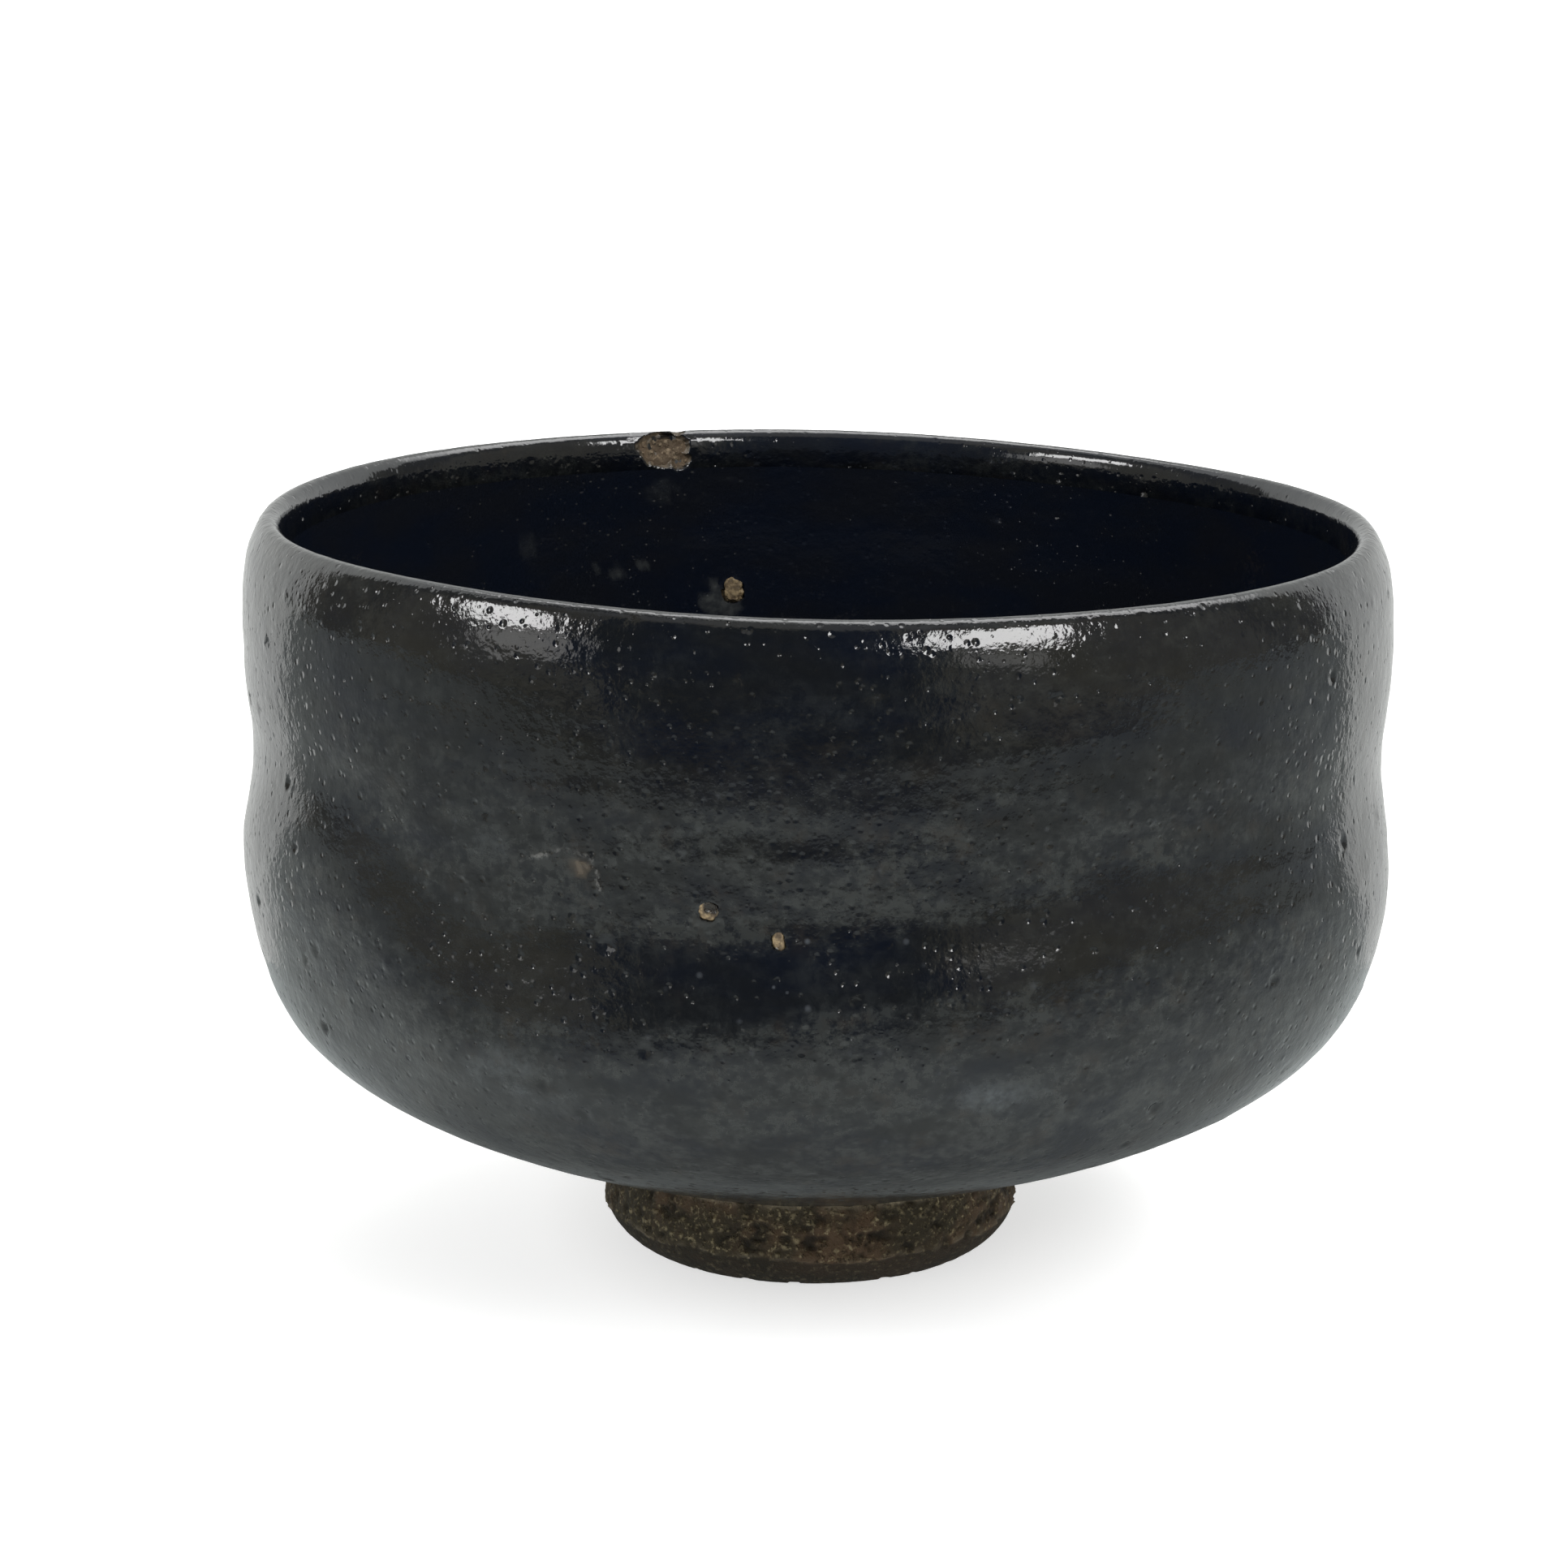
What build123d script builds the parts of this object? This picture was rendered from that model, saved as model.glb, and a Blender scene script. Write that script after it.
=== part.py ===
"""Matcha bowl: a thrown and turned stoneware tea bowl under a black glaze.

The bowl stands on its foot ring with +Z up. The origin is the centre of the foot's resting
face. All sizes are in millimetres. Profile points are (radius, height).
"""

import os
from math import cos, radians, sin

from build123d import *

# --- Driving dimensions -------------------------------------------------------------------

HEIGHT = 77.8
LIP_RADIUS = 56.5
BELLY_RADIUS = 60.0
WAIST_RADIUS = 58.75
GLAZE = 0.5

FOOT_RADIUS = 22.0
FOOT_NECK_RADIUS = 21.4
FOOT_HEIGHT = 9.3
FOOT_BEVEL = 3.0
FOOT_BEVEL_HEIGHT = 3.3
FOOT_INNER_RADIUS = 15.0
FOOT_INNER_BEVEL = 0.8
RECESS_DEPTH = 6.0
TOKIN_DROP = 0.8

FLOOR_HEIGHT = 13.0
POOL_RADIUS = 13.0
POOL_RIM_HEIGHT = 14.5

# Where the outer coat stops under the bowl, and where it ends inside the lip.
GLAZE_LINE = (24.5, 10.35)
GLAZE_LAP = (55.1, 73.6)

# --- Glazed surface, as it is seen and held -------------------------------------------------

OUTSIDE = [
    GLAZE_LINE,
    (36.0, 14.6),
    (47.0, 19.5),
    (56.2, 27.1),
    (59.3, 34.5),
    (BELLY_RADIUS, 42.0),
    (WAIST_RADIUS, 52.0),
    (59.5, 63.5),
    (59.1, 72.0),
    (58.2, 76.0),
    (LIP_RADIUS, HEIGHT),
    (55.4, 76.6),
    GLAZE_LAP,
]
UNDERSIDE_SLOPE = (1.0, 0.38)
LIP_INSIDE_SLOPE = (-0.06, -1.0)

INSIDE = [
    GLAZE_LAP,
    (54.6, 64.0),
    (54.0, 52.5),
    (54.4, 43.0),
    (52.4, 33.5),
    (45.0, 25.6),
    (31.0, 19.2),
    (20.0, 16.1),
    (POOL_RADIUS, POOL_RIM_HEIGHT),
    (8.0, 13.3),
    (0.0, FLOOR_HEIGHT),
]

# --- Stones in the clay: turn about +Z from +X, height, radius, and whether it shows inside ---

STONES = [
    (100.5, 59.0, 1.3, True),
    (112.0, 62.5, 0.55, True),
    (115.5, 62.2, 0.5, True),
    (260.2, 50.4, 0.85, False),
    (266.8, 47.7, 0.65, False),
    (249.5, 54.2, 0.55, False),
    (31.0, 36.0, 0.7, False),
    (148.0, 57.0, 0.8, False),
    (72.0, 40.0, 0.6, False),
]
STONE_SINK = 0.45
BURST_MARGIN = 0.35

# --- Chip in the lip -------------------------------------------------------------------------

CHIP_TURN = 108.8
CHIP_RADIUS = 5.5
CHIP_DEPTH = 1.0
CHIP_RIM = (55.9, 76.9)
CHIP_TILT = 50.0
NICK_TURN = 106.6
NICK_RADIUS = 1.1
NICK_LIFT = 0.35


def beside(curve, distance, samples=30):
    """Points along a curve, each moved to the curve's left by the same distance."""
    points = []
    for i in range(samples + 1):
        along = curve % (i / samples)
        points.append(curve @ (i / samples) + Vector(-along.Y, along.X) * distance)
    return points


def around(turn, radius, height):
    """A point at a radius and height, turned about +Z."""
    return (radius * cos(radians(turn)), radius * sin(radians(turn)), height)


def radius_at(curve, height):
    """The largest radius at which a profile curve has this height."""
    level = Edge.make_line((0, height), (2 * BELLY_RADIUS, height))
    return max(point.X for point in curve.find_intersection_points(level))


# --- Profile curves --------------------------------------------------------------------------

with BuildLine() as glazed_outside:
    Spline(*OUTSIDE, tangents=(UNDERSIDE_SLOPE, LIP_INSIDE_SLOPE))
with BuildLine() as glazed_inside:
    Spline(*INSIDE, tangents=(LIP_INSIDE_SLOPE, (-1, 0)))

outside = glazed_outside.edge()
inside = glazed_inside.edge()

with BuildLine() as clay_outside:
    Spline(*beside(outside, GLAZE), tangents=(outside % 0, outside % 1))
with BuildLine() as clay_inside:
    Spline(*beside(inside, GLAZE), tangents=(inside % 0, inside % 1))

under_glaze = clay_outside.edge()
under_lining = clay_inside.edge()


def stone_place(turn, height, radius, shows_inside):
    """The centre of a stone, sunk a little under the clay's surface."""
    if shows_inside:
        wall = radius_at(under_lining, height) + STONE_SINK * radius
    else:
        wall = radius_at(under_glaze, height) - STONE_SINK * radius
    return around(turn, wall, height)


def cut_stones(margin=0.0):
    """Takes the stones, grown by a margin, out of the part that is being built."""
    for turn, height, radius, shows_inside in STONES:
        with Locations(stone_place(turn, height, radius, shows_inside)):
            Sphere(radius + margin, mode=Mode.SUBTRACT)


def cut_lip_chip():
    """Takes the chip and its nick out of the lip of the part that is being built."""
    reach = CHIP_RADIUS - CHIP_DEPTH
    rim_radius, rim_height = CHIP_RIM
    centre_radius = rim_radius - reach * cos(radians(CHIP_TILT))
    centre_height = rim_height + reach * sin(radians(CHIP_TILT))
    with Locations(around(CHIP_TURN, centre_radius, centre_height)):
        Sphere(CHIP_RADIUS, mode=Mode.SUBTRACT)
    with Locations(around(NICK_TURN, LIP_RADIUS, HEIGHT + NICK_LIFT)):
        Sphere(NICK_RADIUS, mode=Mode.SUBTRACT)


# --- Clay body: the thrown wall and floor ----------------------------------------------------

with BuildPart() as clay_body:
    with BuildSketch(Plane.XZ):
        with BuildLine():
            add(under_glaze)
            add(under_lining)
            Line(under_lining @ 1, (0, RECESS_DEPTH - TOKIN_DROP))
            Spline(
                (0, RECESS_DEPTH - TOKIN_DROP),
                (FOOT_INNER_RADIUS, RECESS_DEPTH),
                tangents=((1, 0), (1, 0)),
            )
            Line((FOOT_INNER_RADIUS, RECESS_DEPTH), (FOOT_INNER_RADIUS, FOOT_HEIGHT))
            Line((FOOT_INNER_RADIUS, FOOT_HEIGHT), (FOOT_NECK_RADIUS, FOOT_HEIGHT))
            Line((FOOT_NECK_RADIUS, FOOT_HEIGHT), under_glaze @ 0)
        make_face()
    revolve(axis=Axis.Z)
    cut_stones()
    cut_lip_chip()

# --- Foot ring: turned, left bare, with a worn bevel -----------------------------------------

with BuildPart() as foot_ring:
    with BuildSketch(Plane.XZ):
        with BuildLine():
            Polyline(
                (FOOT_NECK_RADIUS, FOOT_HEIGHT),
                (FOOT_INNER_RADIUS, FOOT_HEIGHT),
                (FOOT_INNER_RADIUS, FOOT_INNER_BEVEL),
                (FOOT_INNER_RADIUS + FOOT_INNER_BEVEL, 0),
                (FOOT_RADIUS - FOOT_BEVEL, 0),
            )
            Spline(
                (FOOT_RADIUS - FOOT_BEVEL, 0),
                (FOOT_RADIUS - FOOT_BEVEL / 3, FOOT_BEVEL_HEIGHT / 2),
                (FOOT_RADIUS, FOOT_BEVEL_HEIGHT),
            )
            Spline(
                (FOOT_RADIUS, FOOT_BEVEL_HEIGHT),
                (FOOT_NECK_RADIUS, FOOT_HEIGHT),
                tangents=((0, 1), (-0.15, 1)),
            )
        make_face()
    revolve(axis=Axis.Z)

# --- Outer glaze: over the outside and the lip, down to the glaze line -----------------------

with BuildPart() as outer_glaze:
    with BuildSketch(Plane.XZ):
        with BuildLine():
            add(outside)
            Line(outside @ 1, under_glaze @ 1)
            add(under_glaze)
            Line(under_glaze @ 0, outside @ 0)
        make_face()
    revolve(axis=Axis.Z)
    cut_stones(BURST_MARGIN)
    cut_lip_chip()

# --- Inner glaze: the lining, from the lap inside the lip to the tea pool --------------------

with BuildPart() as inner_glaze:
    with BuildSketch(Plane.XZ):
        with BuildLine():
            add(inside)
            Line(inside @ 1, under_lining @ 1)
            add(under_lining)
            Line(under_lining @ 0, inside @ 0)
        make_face()
    revolve(axis=Axis.Z)
    cut_stones(BURST_MARGIN)
    cut_lip_chip()

# --- Stones that burst through the glaze -----------------------------------------------------

with BuildPart() as stone_grains:
    for turn, height, radius, shows_inside in STONES:
        with Locations(stone_place(turn, height, radius, shows_inside)):
            Sphere(radius)

# --- Export ----------------------------------------------------------------------------------

PIECES = {
    "clay_body": clay_body,
    "foot_ring": foot_ring,
    "outer_glaze": outer_glaze,
    "inner_glaze": inner_glaze,
    "stone_grains": stone_grains,
}

os.makedirs("parts", exist_ok=True)
for name, piece in PIECES.items():
    piece.part.label = name
    export_step(piece.part, f"parts/{name}.step")
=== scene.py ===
"""Looks of the matcha bowl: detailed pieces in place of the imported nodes, a pale floor, studio light, a camera.

Shapes are drawn in millimetres in the row frame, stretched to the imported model's box, and turned into metres when
a mesh is made. A turn is an angle about +Z from +X, in degrees, and 270 is the front. A mask is a number for each
point of a mesh, nearly always from 0 to 1, that the piece's material reads.
"""

import math
from collections import namedtuple

import bmesh
import bpy
import numpy as np
from mathutils import Matrix, Vector


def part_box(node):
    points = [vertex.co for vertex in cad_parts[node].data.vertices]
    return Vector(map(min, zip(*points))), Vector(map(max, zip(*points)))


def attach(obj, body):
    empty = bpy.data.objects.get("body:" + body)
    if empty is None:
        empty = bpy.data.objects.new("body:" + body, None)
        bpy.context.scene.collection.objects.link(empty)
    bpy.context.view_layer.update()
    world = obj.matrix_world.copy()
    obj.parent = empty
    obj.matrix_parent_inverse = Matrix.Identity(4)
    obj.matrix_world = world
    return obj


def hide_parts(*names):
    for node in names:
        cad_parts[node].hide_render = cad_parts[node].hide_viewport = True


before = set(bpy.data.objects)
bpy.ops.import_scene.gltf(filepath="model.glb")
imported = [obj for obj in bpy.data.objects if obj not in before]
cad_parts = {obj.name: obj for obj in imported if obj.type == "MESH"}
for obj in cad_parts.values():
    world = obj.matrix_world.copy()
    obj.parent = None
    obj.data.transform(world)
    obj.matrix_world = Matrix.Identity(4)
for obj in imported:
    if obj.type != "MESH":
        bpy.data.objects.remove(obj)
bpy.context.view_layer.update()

MM = 0.001
_, GLAZE_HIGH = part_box("outer_glaze")
_, FOOT_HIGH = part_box("foot_ring")
CLAY_LOW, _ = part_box("clay_body")

BELLY = GLAZE_HIGH.x / MM
RIM = GLAZE_HIGH.z / MM
FOOT_RADIUS = FOOT_HIGH.x / MM
FOOT_TOP = FOOT_HIGH.z / MM
TOKIN = CLAY_LOW.z / MM
GLAZE = 0.5
UP = np.array([0.0, 0.0, 1.0])

# ---------------------------------------------------------------- outlines, as (radius, height) points

GLAZE_LINE = 10.35
OUTSIDE = [(24.5, GLAZE_LINE), (36.0, 14.6), (47.0, 19.5), (56.2, 27.1), (59.3, 34.5), (60.0, 42.0),
           (58.75, 52.0), (59.5, 63.5), (59.1, 72.0), (58.2, 76.0), (56.5, 77.8), (55.5, 77.1), (55.2, 75.8),
           (55.1, 73.6)]
INSIDE = [(55.1, 73.6), (54.6, 64.0), (54.0, 52.5), (54.4, 43.0), (52.4, 33.5), (45.0, 25.6), (31.0, 19.2),
          (20.0, 16.1), (13.0, 14.5), (8.0, 13.3), (0.0, 13.0)]
UNDERSIDE_SLOPE = (1.0, 0.38)
LIP_INSIDE_SLOPE = (-0.03, -1.0)
# The widest radius and the height that the points above give, before they are stretched.
OUTLINE_RADIUS = 60.035
OUTLINE_HEIGHT = 77.8

FOOT_BORE = 15.0
FOOT_NECK = 21.4
FOOT_BEVEL = 3.0
FOOT_BEVEL_HEIGHT = 3.3
BORE_BEVEL = 0.8
RECESS = 6.0

# ---------------------------------------------------------------- marks: stones, chip, nick and scar

# melt is how far a stone has melted into the glaze. wide and tall stretch it.
Stone = namedtuple("Stone", "turn height radius shows_inside melt wide tall")
STONES = [Stone(100.5, 59.0, 1.3, True, 0.0, 1.25, 1.3), Stone(112.0, 62.5, 0.55, True, 0.6, 1, 1),
          Stone(115.5, 62.2, 0.5, True, 0.6, 1, 1), Stone(260.2, 50.4, 0.85, False, 0.9, 1.3, 1.2),
          Stone(266.6, 47.8, 0.65, False, 0.1, 1.15, 1.9), Stone(248.0, 53.8, 0.55, False, 0.5, 1, 1),
          Stone(31.0, 36.0, 0.7, False, 0.2, 1.2, 1.1), Stone(148.0, 57.0, 0.8, False, 0.7, 1.1, 1.3),
          Stone(72.0, 40.0, 0.6, False, 0.3, 1, 1.4)]
STONE_SINK = 0.45
# Stones smaller than this stay under the glaze.
UNDER_GLAZE = 0.6
# A painted glint on one stone, a white spot, as turn, radius and height.
GLINT_SPOT = (266.45, 59.4, 46.85)

# The chip in the lip is three bites by balls: turn, (radius, height) of the lip, ball's radius, depth and tilt.
LIP_BITES = [(108.9, (55.35, 75.6), 4.2, 0.85, 22.0), (110.9, (55.35, 75.9), 2.4, 0.4, 22.0),
             (107.0, (55.35, 74.4), 1.4, 0.45, 15.0)]
NICK_TURN = 106.9
NICK_RADIUS = 56.3
NICK_LIFT = 0.25

SMEAR_TURN = 248.0
SMEAR_HEIGHT = 53.6
SCAR = [(240.9, 52.9), (242.6, 53.7), (244.4, 54.3), (246.4, 55.0), (248.1, 55.0), (249.3, 54.4), (249.7, 53.0),
        (249.9, 51.7)]
# Pale bloom on the outside: strength, turn, half width in degrees, height, half height.
OUTER_BLOOM = [(0.9, 286.5, 5.0, 32.0, 1.6), (0.7, 242.0, 7.0, 32.7, 3.0), (0.4, 237.5, 5.0, 54.6, 1.3),
               (0.5, 75.0, 9.0, 36.0, 2.5), (0.4, 160.0, 12.0, 30.0, 2.0)]
# Pale spots on the lining: turn, height, radius, strength.
PALE_SPOTS = [(102.2, 58.0, 2.3, 1.0), (115.5, 61.9, 0.9, 1.0), (112.0, 62.6, 0.8, 0.9),
              (109.4, 71.0, 1.7, 0.35), (127.0, 65.5, 1.3, 0.3), (118.0, 62.6, 0.5, 0.7), (60.0, 50.0, 1.5, 0.5),
              (150.0, 40.0, 2.0, 0.5), (300.0, 58.0, 1.6, 0.5), (215.0, 44.0, 1.8, 0.5)]


# ---------------------------------------------------------------- curves

def spline(points, start, end):
    """A smooth curve of 4000 points through points, leaving and arriving along the slopes given."""
    p = np.array(points, float)
    h = np.hypot(*np.diff(p, axis=0).T)
    n = len(p)
    lhs = np.eye(n)
    rhs = np.zeros((n, 2))
    rhs[0] = np.array(start) / np.hypot(*start)
    rhs[-1] = np.array(end) / np.hypot(*end)
    for i in range(1, n - 1):
        lhs[i, i - 1:i + 2] = h[i], 2 * (h[i - 1] + h[i]), h[i - 1]
        rhs[i] = 3 * (h[i] / h[i - 1] * (p[i] - p[i - 1]) + h[i - 1] / h[i] * (p[i + 1] - p[i]))
    slope = np.linalg.solve(lhs, rhs)
    knots = np.r_[0, np.cumsum(h)]
    t = np.linspace(0, knots[-1], 4000)
    k = np.clip(np.searchsorted(knots, t, "right") - 1, 0, n - 2)
    step = h[k][:, None]
    u = ((t - knots[k]) / h[k])[:, None]
    return (p[k] * (1 + 2 * u) * (1 - u) ** 2 + slope[k] * step * u * (1 - u) ** 2
            + p[k + 1] * u * u * (3 - 2 * u) - slope[k + 1] * step * u * u * (1 - u))


def spaced(curve, spacing):
    """Points along a curve, about spacing apart."""
    along = np.r_[0, np.cumsum(np.hypot(*np.diff(curve, axis=0).T))]
    count = max(2, round(along[-1] / spacing) + 1)
    at = np.linspace(0, along[-1], count)
    return np.stack([np.interp(at, along, curve[:, i]) for i in (0, 1)], 1)


def beside(curve, distance):
    """A curve moved to its left by a distance."""
    d = np.gradient(curve, axis=0)
    d /= np.hypot(*d.T)[:, None]
    return curve + np.stack([-d[:, 1], d[:, 0]], 1) * distance


def stretched(points):
    """Outline points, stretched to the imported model's widest radius and full height."""
    return [(r * BELLY / OUTLINE_RADIUS, z * RIM / OUTLINE_HEIGHT) for r, z in points]


def wall_table(curve):
    """Heights and radii along an outline, lowest first, for np.interp."""
    order = np.argsort(curve[:, 1])
    return curve[order, 1], curve[order, 0]


outside = spline(stretched(OUTSIDE), UNDERSIDE_SLOPE, LIP_INSIDE_SLOPE)
inside = spline(stretched(INSIDE), LIP_INSIDE_SLOPE, (-1.0, 0.0))
under_glaze = beside(outside, GLAZE)
under_lining = beside(inside, GLAZE)
under_lining[-1, 0] = 0.0

crown = np.argmax(outside[:, 1])
OUT_WALL = wall_table(outside[:crown])
IN_WALL = wall_table(inside)
OUT_CLAY = wall_table(under_glaze[:crown])
IN_CLAY = wall_table(under_lining)


# ---------------------------------------------------------------- noise

def ease(x, low, high):
    """0 below low, 1 above high, and a smooth step between."""
    t = np.clip((x - low) / (high - low), 0, 1)
    return t * t * (3 - 2 * t)


def lattice(i, seed):
    """A repeatable value from -1 to 1 for each whole-number point."""
    n = (i[:, 0] * 374761393 + i[:, 1] * 668265263 + i[:, 2] * 1274126177 + seed * 974634777) & 0xFFFFFFFF
    n = ((n ^ (n >> 13)) * 1103515245) & 0xFFFFFFFF
    n = ((n ^ (n >> 16)) * 69069) & 0xFFFFFFFF
    return (n >> 8) / 8388608.0 - 1.0


def noise(p, size, seed):
    """Smooth noise from -1 to 1 with lumps of this size in millimetres."""
    q = p / size
    base = np.floor(q).astype(np.int64)
    f = q - base
    f = f * f * f * (f * (f * 6 - 15) + 10)
    total = np.zeros(len(p))
    for corner in np.ndindex(2, 2, 2):
        weight = np.prod(np.where(corner, f, 1 - f), axis=1)
        total += weight * lattice(base + np.array(corner), seed)
    return total


def rough_noise(p, size, seed, layers=3):
    """Noise with finer and weaker noise added to it."""
    return sum(noise(p, size / 2 ** k, seed + k) / 2 ** k for k in range(layers)) / 1.75


def patchy(p, size, seed, middle=0.5, swing=1.2):
    """Rough noise about a middle value, kept from 0 to 1."""
    return np.clip(middle + swing * rough_noise(p, size, seed), 0, 1)


# ---------------------------------------------------------------- meshes

def rows_of(curve, spacing, side):
    """Rows for revolve() along a curve."""
    return [(r, z, side) for r, z in spaced(curve, spacing)]


def revolve(name, rows, turns, closed=True):
    """A mesh of revolution through rows of (radius, height, side). side is 1 where the surface shows."""
    angle = np.arange(turns) * (2 * math.pi / turns)
    ring, verts, sides = [], [], []
    for r, z, side in rows:
        start = sum(len(v) for v in verts)
        if r < 1e-6:
            verts.append(np.array([[0, 0, z]]))
            ring.append([start] * turns)
            sides.append([side])
        else:
            verts.append(np.stack([r * np.cos(angle), r * np.sin(angle), np.full(turns, z)], 1))
            ring.append(list(range(start, start + turns)))
            sides.append([side] * turns)
    following = ring[1:] + (ring[:1] if closed else [])
    faces = []
    for a, b in zip(ring, following):
        for i in range(turns):
            j = (i + 1) % turns
            face = [a[i], a[j], b[j], b[i]]
            faces.append([v for k, v in enumerate(face) if v not in face[:k]])
    mesh = bpy.data.meshes.new(name)
    mesh.from_pydata(np.concatenate(verts) * MM, [], faces)
    layer = mesh.attributes.new("side", "FLOAT", "POINT")
    layer.data.foreach_set("value", np.concatenate(sides).astype(np.float32))
    return mesh


def refine(mesh, spots):
    """Turns the faces outwards, and splits those near each (centre, reach, times) spot that many times."""
    bm = bmesh.new()
    bm.from_mesh(mesh)
    bmesh.ops.recalc_face_normals(bm, faces=bm.faces)
    for step in range(max((times for _, _, times in spots), default=0)):
        faces = list(bm.faces)
        centres = np.array([f.calc_center_median() for f in faces]) / MM
        near = np.zeros(len(faces), bool)
        for centre, reach, times in spots:
            if times > step:
                near |= ((centres - centre) ** 2).sum(1) < reach ** 2
        edges = list({e for f, chosen in zip(faces, near) if chosen for e in f.edges})
        bmesh.ops.subdivide_edges(bm, edges=edges, cuts=1, use_grid_fill=True)
    bm.to_mesh(mesh)
    bm.free()


def read(mesh):
    """A mesh's points in millimetres, its normals, and the side stored at each point."""
    count = len(mesh.vertices)
    p = np.zeros(count * 3, np.float32)
    mesh.vertices.foreach_get("co", p)
    n = np.zeros(count * 3, np.float32)
    mesh.vertex_normals.foreach_get("vector", n)
    side = np.zeros(count, np.float32)
    mesh.attributes["side"].data.foreach_get("value", side)
    return p.reshape(-1, 3).astype(float) / MM, n.reshape(-1, 3).astype(float), side.astype(float)


def piece(mesh, points, material, node, masks):
    """Makes the finished piece from a mesh and its moved points, riding on the body in place of a CAD node."""
    mesh.vertices.foreach_set("co", (points * MM).astype(np.float32).ravel())
    for name, values in masks.items():
        layer = mesh.attributes.new(name, "FLOAT", "POINT")
        layer.data.foreach_set("value", values.astype(np.float32))
    mesh.polygons.foreach_set("use_smooth", [True] * len(mesh.polygons))
    mesh.set_sharp_from_angle(angle=math.radians(50))
    mesh.materials.append(material)
    mesh.update()
    obj = bpy.data.objects.new(mesh.name, mesh)
    bpy.context.scene.collection.objects.link(obj)
    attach(obj, "root")
    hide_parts(node)


# ---------------------------------------------------------------- scoops: where glaze and clay are gone

def around(turn, radius, height):
    """A point at a radius and height, turned about +Z."""
    a = math.radians(turn)
    return np.array([radius * math.cos(a), radius * math.sin(a), height])


def stone_seat(stone):
    """The centre of a stone, and the direction in which it looks out of the wall."""
    if stone.shows_inside:
        wall = np.interp(stone.height, *IN_CLAY) + STONE_SINK * stone.radius
        return around(stone.turn, wall, stone.height), around(stone.turn, -1.0, 0.0)
    wall = np.interp(stone.height, *OUT_CLAY) - STONE_SINK * stone.radius
    return around(stone.turn, wall, stone.height), around(stone.turn, 1.0, 0.0)


def lip_bite(turn, rim, radius, depth, tilt):
    """The centre and outward direction of a ball that bites this deep into the lip, tilted above the level."""
    reach = radius - depth
    t = math.radians(tilt)
    centre = around(turn, rim[0] - reach * math.cos(t), rim[1] + reach * math.sin(t))
    return centre, around(turn, -math.cos(t), math.sin(t))


# A ball that takes material away. ragged is how far its radius varies, and chips says that it chips the lip.
Scoop = namedtuple("Scoop", "centre outward radius ragged chips")
CLAY_SCOOPS = []
GLAZE_SCOOPS = []
for stone in STONES:
    centre, outward = stone_seat(stone)
    CLAY_SCOOPS.append(Scoop(centre, outward, stone.radius + 0.05, 0.1, False))
    if stone.radius < UNDER_GLAZE:
        continue
    surface = centre + outward * (STONE_SINK * stone.radius + 0.9 * GLAZE)
    # A tall stone bursts through two holes, one above the other.
    shift = stone.radius * (stone.tall - stone.wide) * 0.7
    for rise in ((-shift, shift) if stone.tall > stone.wide * 1.2 else (0.0,)):
        hole = stone.radius * stone.wide * 0.82
        GLAZE_SCOOPS.append(Scoop(surface + UP * rise, outward, hole, 0.4 * stone.radius, False))
for bite in LIP_BITES:
    centre, outward = lip_bite(*bite)
    CLAY_SCOOPS.append(Scoop(centre, outward, bite[2], 0.3, True))
    GLAZE_SCOOPS.append(Scoop(centre, outward, bite[2] + 0.05, 0.3, True))
nick = around(NICK_TURN, NICK_RADIUS, RIM + NICK_LIFT)
CLAY_SCOOPS.append(Scoop(nick, UP, 0.85, 0.15, True))
GLAZE_SCOOPS.append(Scoop(nick, UP, 0.9, 0.15, True))


def scoop_out(p, side, glaze):
    """Sinks the points in each scoop to its far wall, the glaze under the clay. Also how far each chip sinks."""
    out = p.copy()
    sunk = np.zeros(len(p))
    chipped = np.zeros(len(p))
    for k, (centre, outward, ball, ragged, chips) in enumerate(GLAZE_SCOOPS if glaze else CLAY_SCOOPS):
        near = np.flatnonzero(((p - centre) ** 2).sum(1) < (ball + 1.2) ** 2)
        v = p[near] - centre
        up = v @ outward
        across = np.linalg.norm(v - up[:, None] * outward, axis=1)
        radius = ball + ragged * rough_noise(p[near], 0.9, 40 + k)
        drop = up + np.sqrt(np.maximum(radius ** 2 - across ** 2, 0))
        deeper = ((v ** 2).sum(1) < radius ** 2) & (drop > sunk[near])
        near, drop = near[deeper], drop[deeper]
        sunk[near] = drop
        if chips:
            chipped[near] = drop
        if glaze:
            drop = drop + ease(drop, 0.15, 0.6) * np.where(side[near] > 0.5, 0.15, 0.25)
        else:
            drop = drop + 0.08 * rough_noise(p[near], 0.5, 60 + k)
        out[near] = p[near] - drop[:, None] * outward
    return out, chipped


# ---------------------------------------------------------------- the hand-thrown shape that all pieces share

def turned(p):
    """The turn of each point, from 0 to 360."""
    return np.degrees(np.arctan2(p[:, 1], p[:, 0])) % 360


def bump_at(turn, centre, width):
    """A smooth hill round one turn."""
    d = (turn - centre + 180) % 360 - 180
    return np.exp(-(d / width) ** 2)


def wander(*points):
    """A smooth closed line of (turn, height) points, finely spaced for np.interp."""
    p = np.array(points)
    wrapped = np.concatenate([p[-3:] - (360, 0), p, p[:3] + (360, 0)])
    curve = spline(wrapped, wrapped[1] - wrapped[0], wrapped[-1] - wrapped[-2])
    return curve[(curve[:, 0] >= 0) & (curve[:, 0] < 360)]


def height_of(line, turn):
    """The height of a closed line at each turn."""
    return np.interp(turn, line[:, 0], line[:, 1], period=360)


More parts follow.
